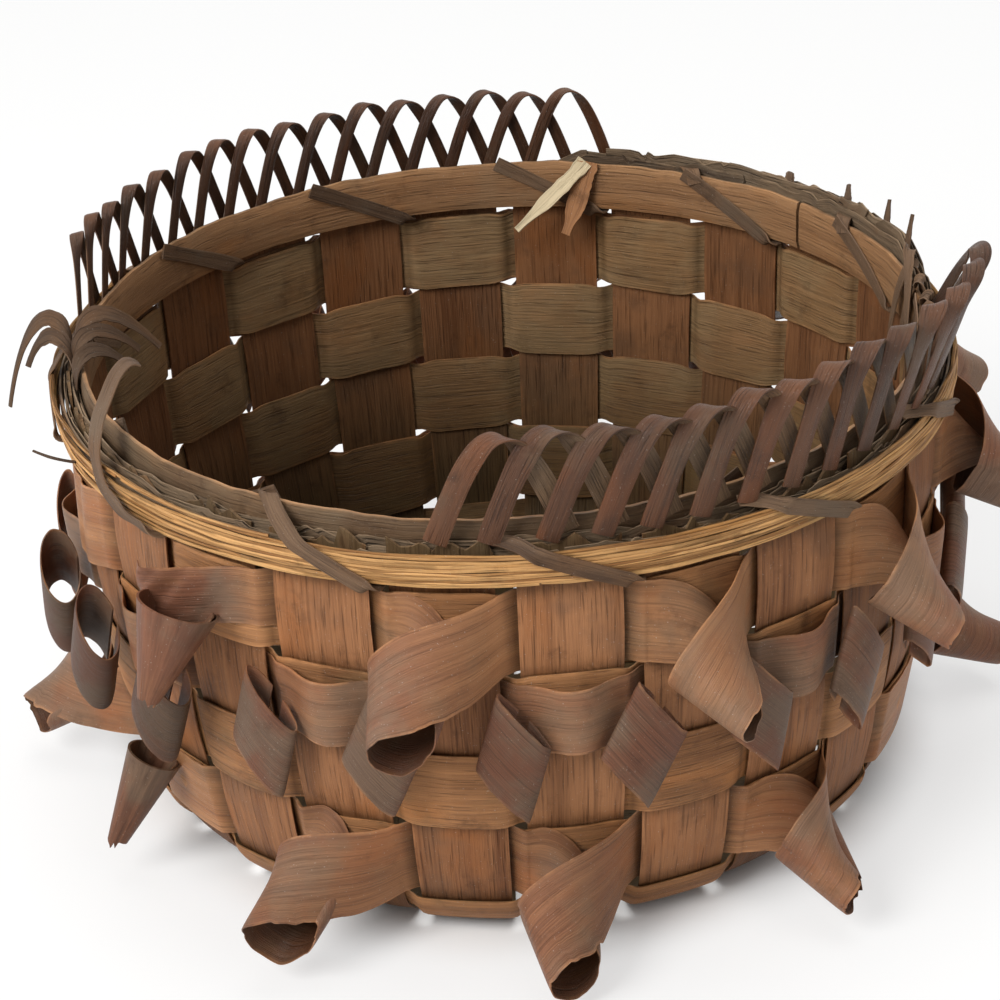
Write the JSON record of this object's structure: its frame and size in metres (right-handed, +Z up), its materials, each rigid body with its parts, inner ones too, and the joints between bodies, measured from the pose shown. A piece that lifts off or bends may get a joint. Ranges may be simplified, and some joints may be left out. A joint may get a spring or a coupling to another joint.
{
  "type": "quill basket",
  "caption": "Round open basket of woven flat wood splints with curled ribbon points round the wall, a hooped and lashed rim and standing loop borders.",
  "frame": {"origin": "centre of the round base on the plane it stands on", "axes": "+Z up out of the open mouth, -Y towards the side with the near loop border, +X to the right of it"},
  "size_m": [0.2744, 0.2744, 0.145],
  "materials": {
    "upright_splint": "dry splint, fine lengthwise grain",
    "weaver_splint": "dry splint, fine lengthwise grain",
    "curl_ribbon": "thin dry ribbon, dull sheen",
    "hoop_wood": "smooth aged wood",
    "filler_wood": "rough split wood",
    "light_binding": "pale fibrous strips",
    "lashing_strip": "thin dry strip",
    "loop_strip": "thin dry strip",
    "loose_straw": "dry broken ends"
  },
  "bodies": {
    "root": {"binding_1": "light_binding", "binding_2": "light_binding", "binding_3": "light_binding", "binding_4": "light_binding", "inner_filler": "filler_wood", "inner_hoop": "hoop_wood", "lashing": "lashing_strip", "loops_back": "loop_strip", "loops_front": "loop_strip", "loose_ends": "loose_straw", "outer_filler": "filler_wood", "outer_hoop": "filler_wood", "petals": "curl_ribbon", "ribbons_bottom": "curl_ribbon", "ribbons_middle": "curl_ribbon", "ribbons_top": "curl_ribbon", "splint_across_1": "upright_splint", "splint_across_2": "upright_splint", "splint_across_3": "upright_splint", "splint_across_4": "upright_splint", "splint_across_5": "upright_splint", "splint_across_6": "upright_splint", "splint_along_1": "upright_splint", "splint_along_2": "upright_splint", "splint_along_3": "upright_splint", "splint_along_4": "upright_splint", "splint_along_5": "upright_splint", "splint_along_6": "upright_splint", "weaver_1": "weaver_splint", "weaver_2": "weaver_splint", "weaver_3": "weaver_splint", "weaver_4": "weaver_splint", "weaver_foot": "weaver_splint"}
  },
  "joints": []
}
